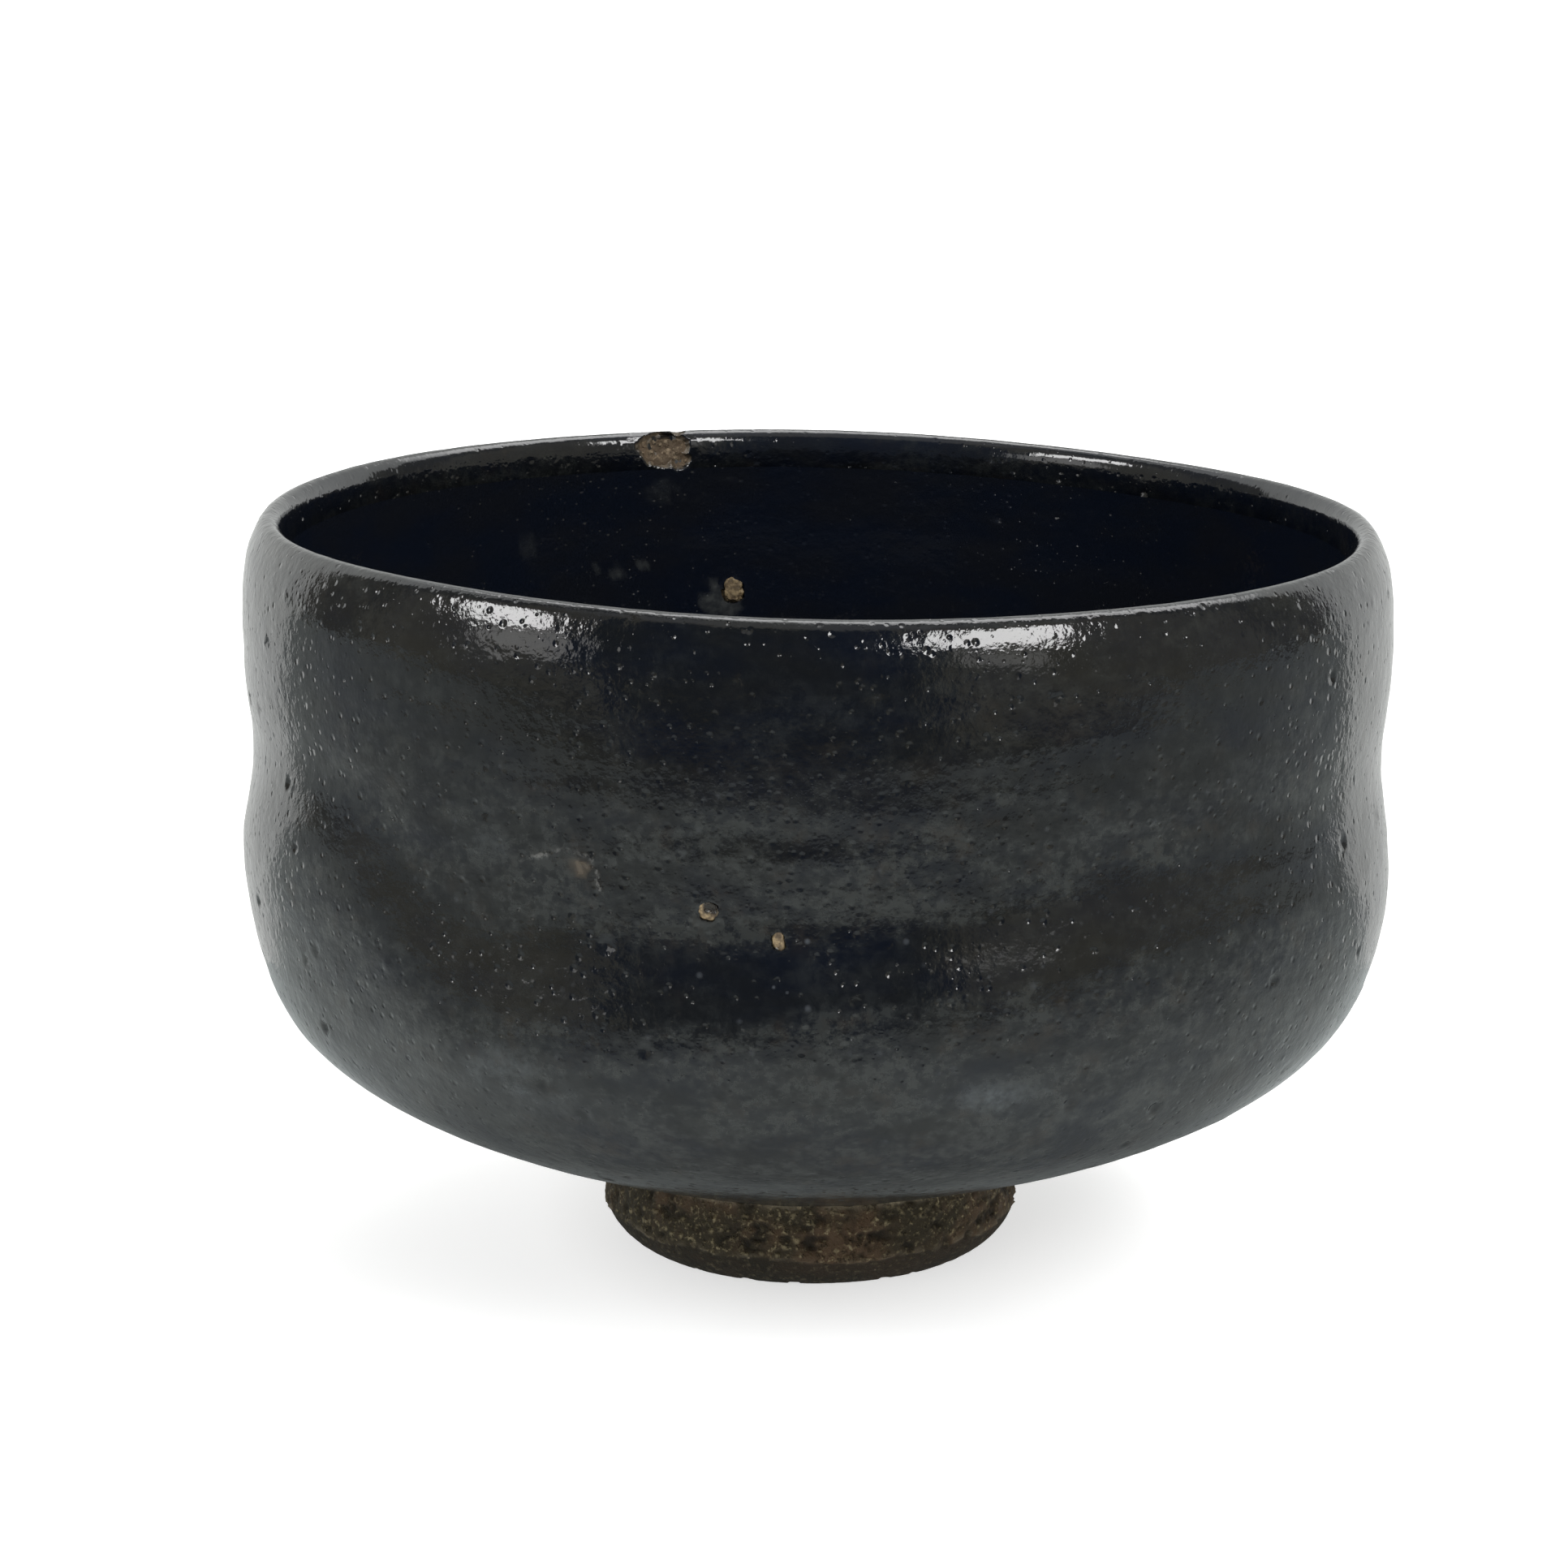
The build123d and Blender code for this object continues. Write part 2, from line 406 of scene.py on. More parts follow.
BELLY_HEIGHT = 42.5
WAIST_HEIGHT = 52.0
CREST = wander((30, 43.0), (75, 44.5), (120, 42.0), (160, 43.0), (188, 45.5), (203, 48.5), (213, 48.9),
               (220, 47.5), (224, 45.3), (229, 42.0), (233, 39.4), (239, 37.8), (247, 38.1), (257, 38.9),
               (267, 40.2), (277, 41.2), (292, 42.9), (310, 44.5), (325, 45.1), (345, 44.0))
WAIST = wander((30, 53.5), (75, 52.5), (120, 51.5), (160, 52.0), (188, 52.8), (203, 56.0), (213, 56.8),
               (220, 56.0), (224, 54.0), (229, 50.8), (233, 48.4), (239, 47.2), (247, 47.5), (257, 47.3),
               (267, 47.5), (277, 48.3), (285, 49.4), (292, 50.8), (301, 52.9), (310, 54.0), (325, 54.4),
               (345, 53.5))
# Where a finger left a ridge or a hollow: turn, half width in degrees, height, half height, how far it stands out.
FINGERS = [(229, 10, 65.7, 1.5, 0.27), (232, 12, 69.6, 1.3, 0.08), (297, 19, 66.2, 2.2, 0.17),
           (300, 16, 58.4, 1.3, 0.13), (266, 14, 55.3, 1.2, 0.12), (245, 13, 60.0, 1.5, 0.09),
           (318, 9, 50.6, 1.0, 0.10), (275, 10, 59.8, 1.1, 0.08), (205, 14, 60.0, 2.0, 0.12),
           (100, 30, 62.0, 2.2, 0.15), (55, 22, 56.0, 2.4, -0.14), (150, 26, 47.0, 2.2, 0.14),
           (10, 20, 64.0, 2.0, 0.15)]
# How far the finger ridges climb in one turn, how far left of the axis the foot stands, and the rim's tilt.
CLIMB = 9.0
FOOT_SHIFT = 0.45
TILT_X, TILT_Y = -0.0141, -0.0045


def hand_thrown(p):
    """Moves points from the true figure of revolution to the bowl as it was thrown."""
    r = np.hypot(p[:, 0], p[:, 1])
    z = p[:, 2]
    turn = turned(p)
    a = np.radians(turn)
    outer = np.interp(z, *OUT_WALL)
    inner = np.interp(z, *IN_WALL, left=0.0)
    # 1 at the outside of the wall and 0 at the inside.
    depth = ease(r, inner + 0.3 * (outer - inner), outer - 0.2) * ease(z, 16.0, 24.0)
    # The belly's crest and the waist wander up and down round the wall, and the shoulder lies higher at the sides.
    crest = height_of(CREST, turn)
    waist = height_of(WAIST, turn)
    shift = (BELLY_HEIGHT - crest) * ease(z, 26, crest) * (1 - ease(z, crest, waist))
    shift += (WAIST_HEIGHT - waist) * ease(z, crest, waist) * (1 - ease(z, waist, 66))
    shoulder = (1 - bump_at(turn, 268, 27)) * bump_at(turn, 268, 95)
    lift = 4.5 * shoulder * ease(z, 60, 67) * (1 - ease(z, 71, 76))
    grow = depth * (np.interp(z + shift - lift, *OUT_WALL) - outer)
    # Finger ridges climb the wall in a slow spiral.
    climb = z - turn / 360 * CLIMB
    ridge = 0.02 * np.sin(climb * (2 * math.pi / CLIMB)) + 0.014 * np.sin(climb * (2 * math.pi / 4.1) + 1.0)
    ring = np.stack([np.cos(a), np.sin(a), z / 5.5], 1)
    sway = 0.08 * noise(ring * (3, 3, 0.4), 1.0, 5) + 0.05 * noise(ring * (4, 4, 1), 1.0, 6)
    sway += 0.03 * noise(ring * (9, 9, 2.2), 1.0, 9)
    grow += depth * ease(z, 22, 34) * (1 - ease(z, 70, 75)) * (ridge + sway)
    for at, width, height, spread, size in FINGERS:
        grow += depth * size * bump_at(turn, at, width) * np.exp(-((z - height) / spread) ** 2)
    # The inside has a spiral of its own.
    inside_ridge = 0.02 * np.sin(climb * (2 * math.pi / 7.0))
    spiral = inside_ridge * (1 - depth) * ease(z, 15, 20) * (1 - ease(z, 66, 72))
    # Seen from above, the bowl is not quite round, and its rim tilts and waves.
    high = ease(z, 22, 76)
    grow += spiral + high * (0.22 * np.cos(2 * a - 0.6) + 0.1 * np.cos(3 * a + 1.0)) * ease(r, 20, 50)
    scale = 1 + grow / np.maximum(r, 1)
    out = p.copy()
    out[:, :2] *= scale[:, None]
    out[:, 0] -= FOOT_SHIFT * (1 - ease(z, 9.5, 22.0))
    wave = 0.16 * np.cos(3 * a + 0.4) + 0.1 * np.cos(5 * a - 1.0)
    out[:, 2] += high * (TILT_X * p[:, 0] + TILT_Y * p[:, 1] + wave)
    return out


# ---------------------------------------------------------------- materials

class Graph:
    """Adds nodes to a node tree and joins them as they are added."""

    def __init__(self, tree):
        self.tree = tree
        tree.nodes.clear()
        self.coordinates = self.add("ShaderNodeTexCoord")
        self.place = self.coordinates.outputs["Object"]

    def add(self, kind, inputs=None, **settings):
        node = self.tree.nodes.new(kind)
        for name, value in settings.items():
            setattr(node, name, value)
        for key, value in (inputs or {}).items():
            if isinstance(value, bpy.types.NodeSocket):
                self.tree.links.new(value, node.inputs[key])
            else:
                node.inputs[key].default_value = value
        return node

    def math(self, operation, a, b=0.0):
        return self.add("ShaderNodeMath", {0: a, 1: b}, operation=operation).outputs[0]

    def times(self, a, b):
        return self.math("MULTIPLY", a, b)

    def step(self, value, low, high, to_low=0.0, to_high=1.0):
        """A smooth step from to_low to to_high as value goes from low to high."""
        inputs = {"Value": value, "From Min": low, "From Max": high, "To Min": to_low, "To Max": to_high}
        return self.add("ShaderNodeMapRange", inputs, interpolation_type="SMOOTHSTEP").outputs[0]

    def mix(self, factor, a, b):
        return self.add("ShaderNodeMix", {0: factor, 6: a, 7: b}, data_type="RGBA").outputs[2]

    def noise(self, size, detail=3.0, roughness=0.5, stretch=(1, 1, 1)):
        """Noise from 0 to 1 with lumps of this size in millimetres."""
        place = self.place
        if stretch != (1, 1, 1):
            place = self.add("ShaderNodeMapping", {"Vector": place, "Scale": stretch}).outputs[0]
        inputs = {"Vector": place, "Scale": 1 / (size * MM), "Detail": detail, "Roughness": roughness}
        return self.add("ShaderNodeTexNoise", inputs).outputs[0]

    def dots(self, size, share, radius):
        """Round dots in this share of cells of this size: 1 in the middle of a dot, 0 outside."""
        cell = self.add("ShaderNodeTexVoronoi", {"Vector": self.place, "Scale": 1 / (size * MM)})
        chosen = self.add("ShaderNodeSeparateColor", {0: cell.outputs["Color"]})
        present = self.step(chosen.outputs[0], 1 - share, 1 - share + 0.02)
        reach = self.times(chosen.outputs[1], radius / size)
        reach = self.math("ADD", reach, radius / size * 0.5)
        return self.times(self.step(cell.outputs["Distance"], 0.0, reach, 1.0, 0.0), present)

    def mask(self, name):
        return self.add("ShaderNodeAttribute", attribute_name=name).outputs["Fac"]

    def surface(self, inputs, bumps=()):
        """The principled shader with a chain of (height, depth in mm) bumps, and the output."""
        normal = None
        for height, depth in bumps:
            bump = {"Height": height, "Distance": depth * MM, "Strength": 1.0}
            if normal:
                bump["Normal"] = normal
            normal = self.add("ShaderNodeBump", bump).outputs[0]
        if normal:
            inputs = {**inputs, "Normal": normal}
        shader = self.add("ShaderNodeBsdfPrincipled", inputs)
        self.add("ShaderNodeOutputMaterial", {"Surface": shader.outputs[0]})


def new_material(name):
    """A material and the graph that draws it."""
    material = bpy.data.materials.new(name)
    material.use_nodes = True
    return material, Graph(material.node_tree)


def grey(value, tint=(1.0, 1.0, 1.0)):
    return (*(value * t for t in tint), 1.0)


BLUE_BLACK = (0.0009, 0.0017, 0.0042, 1)
OLIVE_BLACK = (0.0028, 0.0031, 0.0032, 1)
# The lining's blacks are lighter than the outside's: painted light that makes up for the little light reaching
# inside the bowl.
LIT_LINING_BLUE = (0.0038, 0.0056, 0.0108, 1)
LIT_LINING_BLACK = (0.0054, 0.0064, 0.0092, 1)
HAZE = (0.0190, 0.0208, 0.0202, 1)
RUST = (0.020, 0.016, 0.012, 1)
BUBBLE = (0.050, 0.055, 0.062, 1)
MILK = (0.056, 0.064, 0.068, 1)
LINING_MILK = (0.042, 0.045, 0.045, 1)
FLECK = (0.030, 0.024, 0.017, 1)
FLAKED = (0.10, 0.10, 0.095, 1)
BROKEN_CLAY = (0.125, 0.096, 0.062, 1)
# Dark of torn clay, and painted shade on the foot's downward bevel.
TORN_AND_SHADED_CLAY = (0.016, 0.0135, 0.0095, 1)
# Pale clay, used as painted highlight on the foot's burr and painted light along the joint.
PALE_EDGE_AND_LIGHT = (0.17, 0.145, 0.10, 1)
PALE_SPECK = (0.30, 0.24, 0.16, 1)
STONE_DARK = (0.085, 0.058, 0.030, 1)
STONE_LIGHT = (0.25, 0.185, 0.098, 1)
MELTED = (0.010, 0.009, 0.008, 1)
# White of the painted glint on one stone.
GLINT_WHITE = (0.78, 0.76, 0.72, 1)


def glaze_material(name, gloss):
    """Black iron glaze: orange peel, pinholes, grit, olive and blue clouds, and a haze where it is thick, held back
    in the belly's band as a painted dark reflection.
    """
    material, g = new_material(name)
    clouds = g.noise(14, 4.0, 0.6, (1, 1, 2.2))
    tint = g.mix(g.step(clouds, 0.35, 0.65), BLUE_BLACK, OLIVE_BLACK)
    # Lighter blacks for the lining, as painted light inside the bowl.
    lit_lining = g.mix(g.step(clouds, 0.35, 0.65), LIT_LINING_BLUE, LIT_LINING_BLACK)
    colour = g.mix(g.mask("inside"), tint, lit_lining)
    cloud = g.step(g.noise(7.0, 8.0, 0.72, (1, 1, 1.8)), 0.36, 0.66)
    fine = g.step(g.noise(1.3, 5.0, 0.72), 0.36, 0.64, 0.2, 1.7)
    # Grey haze, held back in the belly's band to paint its dark reflection.
    colour = g.mix(g.times(g.mask("haze_and_painted_band"), g.times(cloud, fine)), colour, HAZE)
    rust = g.times(g.mask("haze_and_painted_band"), g.step(g.noise(4.0, 5.0, 0.7), 0.52, 0.72))
    colour = g.mix(g.times(rust, 0.5), colour, RUST)
    colour = g.mix(g.times(g.dots(1.7, 0.55, 0.36), g.mask("bubbles")), colour, BUBBLE)
    mottle = g.step(g.noise(0.9, 3.0, 0.6), 0.3, 0.7)
    pale = g.times(g.mask("bloom"), g.math("ADD", g.times(mottle, 0.6), 0.4))
    colour = g.mix(pale, colour, g.mix(g.mask("inside"), MILK, LINING_MILK))
    flecks = g.times(g.dots(9.0, 0.6, 0.5), g.step(g.noise(0.5), 0.35, 0.6))
    colour = g.mix(g.times(flecks, g.mask("inside")), colour, FLECK)
    flaked = g.times(g.mask("scratch"), g.step(g.noise(0.45, 3.0, 0.7), 0.42, 0.6))
    colour = g.mix(flaked, colour, FLAKED)
    colour = g.mix(g.mask("broken"), colour, BROKEN_CLAY)
    rough = g.step(g.noise(3.0, 5.0, 0.65), 0.3, 0.7, gloss, gloss + 0.05)
    rough = g.math("ADD", rough, g.times(g.mask("matt"), 0.10))
    rough = g.math("ADD", rough, g.times(g.mask("broken"), 0.5))
    # The lining is smoother than the outside.
    even = g.math("SUBTRACT", 1.0, g.times(g.mask("inside"), 0.6))
    bumps = [(g.noise(3.5, 3.0, 0.5, (1, 1, 1.6)), 0.07), (g.times(g.noise(1.2, 2.0, 0.5), even), 0.06),
             (g.times(g.noise(0.5, 2.0, 0.6), even), 0.026), (g.times(g.dots(1.3, 1.0, 0.34), even), -0.085),
             (g.times(g.dots(1.6, 0.8, 0.40), even), 0.036), (g.dots(0.7, 0.6, 0.15), -0.018)]
    g.surface({"Base Color": colour, "Roughness": rough, "IOR": 1.52}, bumps)
    return material


def clay_material(name, dark, light, warm, bump):
    """Bare fired clay: crumbs, warm patches, torn places, pale edges and specks, painted shade on the foot's
    downward bevel, and painted light along the burr and the joint.
    """
    material, g = new_material(name)
    grain = g.noise(0.55, 4.0, 0.7)
    patch = g.noise(7.0, 3.0, 0.6)
    crumb = g.times(g.dots(0.75, 1.0, 0.42), g.step(grain, 0.35, 0.55))
    colour = g.mix(crumb, dark, light)
    colour = g.mix(g.times(g.step(patch, 0.42, 0.62), 0.6), colour, warm)
    colour = g.mix(g.step(grain, 0.56, 0.70), colour, light)
    torn_and_shade = g.mask("torn_and_shade")
    # Torn places are dark, and the foot's smooth bevel is darkened as painted shade.
    colour = g.mix(g.times(torn_and_shade, 0.88), colour, TORN_AND_SHADED_CLAY)
    # Pale edges: painted highlight along the burr and painted light along the joint under the glaze.
    colour = g.mix(g.mask("pale_edge_and_light"), colour, PALE_EDGE_AND_LIGHT)
    colour = g.mix(g.times(g.dots(1.1, 0.35, 0.14), 0.7), colour, PALE_SPECK)
    rough = g.step(grain, 0.3, 0.7, 0.6, 0.85)
    crumb_height = g.times(crumb, g.math("SUBTRACT", 1.0, g.times(torn_and_shade, 0.6)))
    bumps = [(crumb_height, bump * 1.6), (grain, bump), (g.noise(0.22, 2.0, 0.6), bump * 0.3)]
    g.surface({"Base Color": colour, "Roughness": rough, "Specular IOR Level": 0.25}, bumps)
    return material


def stone_material(name):
    """Tan feldspar grains, some melted dark into the glaze, with a painted glint: a white spot on one."""
    material, g = new_material(name)
    grain = g.noise(0.6, 4.0, 0.65)
    colour = g.mix(g.step(grain, 0.38, 0.64), STONE_DARK, STONE_LIGHT)
    melt = g.mask("melt")
    colour = g.mix(melt, colour, MELTED)
    # Painted glint: a white spot near the lower end of one stone.
    colour = g.mix(g.mask("painted_glint"), colour, GLINT_WHITE)
    rough = g.step(melt, 0.0, 1.0, 0.62, 0.22)
    g.surface({"Base Color": colour, "Roughness": rough}, [(grain, 0.12)])
    return material


outer_black = glaze_material("outer_black_glaze", 0.055)
inner_black = glaze_material("inner_black_glaze", 0.08)
body_clay = clay_material("fired_stoneware", (0.085, 0.060, 0.038, 1), (0.25, 0.195, 0.13, 1),
                          (0.17, 0.12, 0.075, 1), 0.10)
foot_clay = clay_material("bare_foot_clay", (0.036, 0.029, 0.016, 1), (0.26, 0.22, 0.128, 1),
                          (0.112, 0.066, 0.036, 1), 0.16)
tan_stone = stone_material("tan_stone")


# ---------------------------------------------------------------- marks on the glaze

class Marks:
    """Pits and grit strewn over a surface between two heights, from a fixed seed."""

    def __init__(self, seed, count, low, high, curve):
        rng = np.random.default_rng(seed)
        along = spaced(curve, 0.2)
        along = along[(along[:, 1] > low) & (along[:, 1] < high)]
        weight = along[:, 0] / along[:, 0].sum()
        row = rng.choice(len(along), count, p=weight)
        turn = rng.uniform(0, 360, count)
        self.at = np.array([around(t, *along[k]) for t, k in zip(turn, row)])
        self.reach = 0.35 + 0.75 * rng.random(count) ** 3
        self.depth = self.reach * rng.uniform(0.18, 0.42, count)
        self.sign = np.where(rng.random(count) < 0.3, 0.45, -1.0)

    def relief(self, p):
        """Height of the marks at points on the surface."""
        total = np.zeros(len(p))
        for at, reach, depth, sign in zip(self.at, self.reach, self.depth, self.sign):
            near = np.flatnonzero(np.abs(p[:, 2] - at[2]) < 2 * reach)
            near = near[((p[near] - at) ** 2).sum(1) < (2 * reach) ** 2]
            d = np.linalg.norm(p[near] - at, axis=1) / reach
            total[near] += sign * depth * np.where(d < 1, (1 - d * d) ** 2, 0)
            total[near] += 0.1 * depth * np.exp(-((d - 1.15) / 0.25) ** 2)
        return total

    def spots(self):
        """Where the mesh has to be finer for the larger marks."""
        return [(at, reach + 0.35, 1) for at, reach in zip(self.at, self.reach) if reach > 0.6]


def burst_lips(p):
    """The low ring of glaze that stands round each burst."""
    total = np.zeros(len(p))
    for centre, outward, radius, _, chips in GLAZE_SCOOPS:
        v = p - centre
        across = np.linalg.norm(v - (v @ outward)[:, None] * outward, axis=1)
        ring = np.exp(-((across - radius - 0.2) / 0.25) ** 2) * (np.abs(v @ outward) < 3) * (not chips)
        total += 0.05 * min(radius, 1.0) * ring * (0.5 + rough_noise(p, 1.0, 88))
    return total


def scoop_spots(scoops, margin):
    """Where the mesh has to be finer for the scoops."""
    return [(scoop.centre, scoop.radius + margin, 3) for scoop in scoops]


def bare_chip(p, chipped):
    """Mask of the clay that shows in the chip, through the edge of the glaze."""
    return ease(chipped, 0.04, 0.2) * patchy(p, 1.1, 96, 0.55, 0.9)


scar_points = [around(t, np.interp(z, *OUT_WALL), z) for t, z in SCAR]


def scar_line(p):
    """1 on the curved scar left of the front, and 0 away from it."""
    best = np.full(len(p), 9.0)
    for a, b in zip(scar_points, scar_points[1:]):
        t = np.clip(((p - a) @ (b - a)) / ((b - a) @ (b - a)), 0, 1)
        best = np.minimum(best, np.linalg.norm(p - a - t[:, None] * (b - a), axis=1))
    return 1 - ease(best + 0.2 * rough_noise(p, 0.8, 92), 0.05, 0.28)


# ---------------------------------------------------------------- the five pieces

# How far apart the rows of a mesh are where its surface is hidden.
HIDDEN_GLAZE = 4.0
HIDDEN_CLAY = 1.6


def glaze_line_shift(p):
    """Moves the edge of the coat under the bowl up and down the slope, so that it wavers."""
    a = np.radians(turned(p))
    waver = 1.1 * noise(np.stack([np.cos(a) * 3.2, np.sin(a) * 3.2, 0 * a], 1), 1.0, 8)
    slope = np.array(UNDERSIDE_SLOPE) / math.hypot(*UNDERSIDE_SLOPE)
    away = p * np.array([1.0, 1.0, 0.0])
    away /= np.maximum(np.linalg.norm(away, axis=1), 1e-6)[:, None]
    near_line = 1 - ease(p[:, 2], 10.2, 12.5)
    return (near_line * waver)[:, None] * (away * slope[0] + UP * slope[1])


def outer_masks(p, scratch, chipped):
    """What the outer glaze's material reads at each point."""
    turn, z = turned(p), p[:, 2]
    bloom = sum(strength * bump_at(turn, at, width) * np.exp(-((z - height) / spread) ** 2)
                for strength, at, width, height, spread in OUTER_BLOOM)
    matt = (1 - ease(z, 40, 68)) * 0.6 + 0.4 * np.clip(noise(p, 12.0, 19), 0, 1) * (1 - ease(z, 68, 74))
    # The haze thins towards the lip, and in the dark band between the belly's crest and the waist, where the
    # thinning paints that band's dark reflection.
    haze_and_painted_band = 0.3 + 0.7 * (1 - ease(z, 52, 68)) + 0.25 * noise(p, 11.0, 21)
    crest, waist = height_of(CREST, turn), height_of(WAIST, turn)
    ragged = z + 1.4 * rough_noise(p, 3.0, 23)
    haze_and_painted_band *= 1 - 0.75 * ease(ragged, crest - 0.5, crest + 1.0) * (1 - ease(ragged, waist - 1.5, waist + 1.0))
    bubbles = 0.25 + 0.75 * bump_at(turn, 271, 14) * ease(z, 38, 41) * (1 - ease(z, 48, 51))
    bubbles *= 1 - ease(z, 60, 70)
    smear = np.exp(-(((turn - SMEAR_TURN) / 0.85) ** 2 + ((z - SMEAR_HEIGHT) / 0.5) ** 2))
    broken = np.clip(1.4 * smear * (0.55 + 1.2 * rough_noise(p, 0.7, 95)), 0, 1)
    return {"bloom": bloom * patchy(p, 2.5, 17), "matt": matt, "scratch": scratch,
            "broken": np.maximum(broken, bare_chip(p, chipped)), "haze_and_painted_band": np.clip(haze_and_painted_band, 0, 1), "bubbles": bubbles,
            "inside": ease(z, 73.0, 77.0) * ease(56.5 - np.hypot(p[:, 0], p[:, 1]), -0.4, 0.9)}


def make_outer_glaze():
    """The coat over the outside and the lip, which thickens to a soft roll where it stops under the bowl."""
    rows = rows_of(outside, 0.80, 1.0) + rows_of(under_glaze[::-1], HIDDEN_GLAZE, 0.0)
    mesh = revolve("outer_glaze_coat", rows, 560)
    marks = Marks(11, 420, 12.0, 76.0, outside)
    refine(mesh, scoop_spots(GLAZE_SCOOPS, 0.8) + marks.spots() + [(q, 1.0, 2) for q in scar_points])
    p, n, side = read(mesh)
    z = p[:, 2]
    scratch = scar_line(p) * patchy(p, 0.7, 91)
    relief = 0.035 * rough_noise(p, 2.2, 1) + marks.relief(p) + burst_lips(p) + 0.06 * scratch
    relief += 0.12 * (1 - ease(z, GLAZE_LINE, 12.0)) * side
    # The relief fades out where the coat ends.
    end = 1 - ease(z, outside[0, 1], outside[0, 1] + 0.9)
    moved = p + n * (relief * side * (1 - end))[:, None]
    moved += glaze_line_shift(p)
    moved, chipped = scoop_out(moved, side, True)
    piece(mesh, hand_thrown(moved), outer_black, "outer_glaze", outer_masks(p, scratch, chipped))


def make_inner_glaze():
    """The lining, from the lap inside the lip to the tea pool, with a turned spiral on the floor."""
    rows = rows_of(inside, 0.85, 1.0)
    rows[-1] = (0.0, inside[-1, 1], 1.0)
    hidden_rows = rows_of(under_lining, HIDDEN_GLAZE, 0.0)
    hidden_rows[-1] = (0.0, under_lining[-1, 1], 0.0)
    mesh = revolve("inner_glaze_lining", rows[::-1] + hidden_rows, 500, closed=False)
    marks = Marks(23, 160, 14.0, 73.0, inside)
    refine(mesh, scoop_spots(GLAZE_SCOOPS, 0.8) + marks.spots())
    p, n, side = read(mesh)
    z = p[:, 2]
    relief = 0.035 * rough_noise(p, 2.2, 3) + marks.relief(p) + burst_lips(p)
    spiral = np.sin(np.hypot(p[:, 0], p[:, 1]) * 1.2 - np.radians(turned(p)))
    relief += 0.1 * spiral * (1 - ease(z, 17, 20))
    lap = ease(z, 72.6, 73.4)
    moved, chipped = scoop_out(p + n * (relief * side * (1 - lap))[:, None], side, True)
    none = np.zeros(len(p))
    bloom = none
    for turn, height, radius, strength in PALE_SPOTS:
        d = np.linalg.norm(p - around(turn, np.interp(height, *IN_WALL), height), axis=1) / radius
        bloom = np.maximum(bloom, strength * (1 - ease(d + 0.7 * rough_noise(p, 1.0, 51), 0.5, 1.1)))
    masks = {"bloom": bloom, "matt": 0.5 * (1 - ease(z, 20, 60)), "scratch": none,
             "broken": bare_chip(p, chipped), "haze_and_painted_band": none, "bubbles": none, "inside": none + 1}
    piece(mesh, hand_thrown(moved), inner_black, "inner_glaze", masks)


def foot_joint_light(p):
    """How pale the clay is along the joint of foot and body, here and there: painted light over the shade under the
    glaze's edge.
    """
    return ease(noise(p, 3.0, 39), -0.6, 0.2)


def make_clay_body():
    """The thrown wall and floor, bare in the recess and beside the foot."""
    mound = spline([(0.0, TOKIN), (5.0, TOKIN + 0.10), (10.0, TOKIN + 0.45), (FOOT_BORE, RECESS)],
                   (1, 0), (1, 0.15))
    strip = np.linspace((FOOT_NECK, FOOT_TOP), under_glaze[0], 40)
    rows = rows_of(mound, 0.35, 1.0)
    rows += [(FOOT_BORE, z, 0.0) for z in np.linspace(RECESS, FOOT_TOP, 5)[1:]]
    rows += [(r, FOOT_TOP, 0.0) for r in np.linspace(FOOT_BORE, FOOT_NECK, 5)[1:]]
    rows += rows_of(strip, 0.3, 1.0)[1:]
    rows += rows_of(under_glaze, HIDDEN_CLAY, 0.0)[1:]
    rows += rows_of(under_lining, HIDDEN_CLAY, 0.0)[1:]
    rows[0] = (0.0, TOKIN, 1.0)
    rows[-1] = (0.0, under_lining[-1, 1], 0.0)
    mesh = revolve("clay_body_wall", rows, 360, closed=False)
    refine(mesh, scoop_spots(CLAY_SCOOPS, 1.2))
    p, n, side = read(mesh)
    a = np.radians(turned(p))
    r = np.hypot(p[:, 0], p[:, 1])
    relief = 0.05 * rough_noise(p, 0.9, 7) * side
    in_recess = (r < FOOT_BORE - 0.4) & (p[:, 2] < 8)
    turning = 0.16 * np.sin(r * 2.1 - a) + 0.06 * np.sin(r * 5.3 - a * 2)
    relief += np.where(in_recess, turning * ease(FOOT_BORE - r, 0.4, 1.5), 0)
    moved, _ = scoop_out(p + n * relief[:, None], side, False)
    # Painted light along the joint, where the glaze's edge shades the bare clay.
    pale_edge_and_light = 0.6 * ease(r, 21.0, 21.6) * (1 - ease(r, 24.0, 25.0)) * foot_joint_light(p)
    piece(mesh, hand_thrown(moved), body_clay, "clay_body",
          {"torn_and_shade": np.zeros(len(p)), "pale_edge_and_light": pale_edge_and_light})


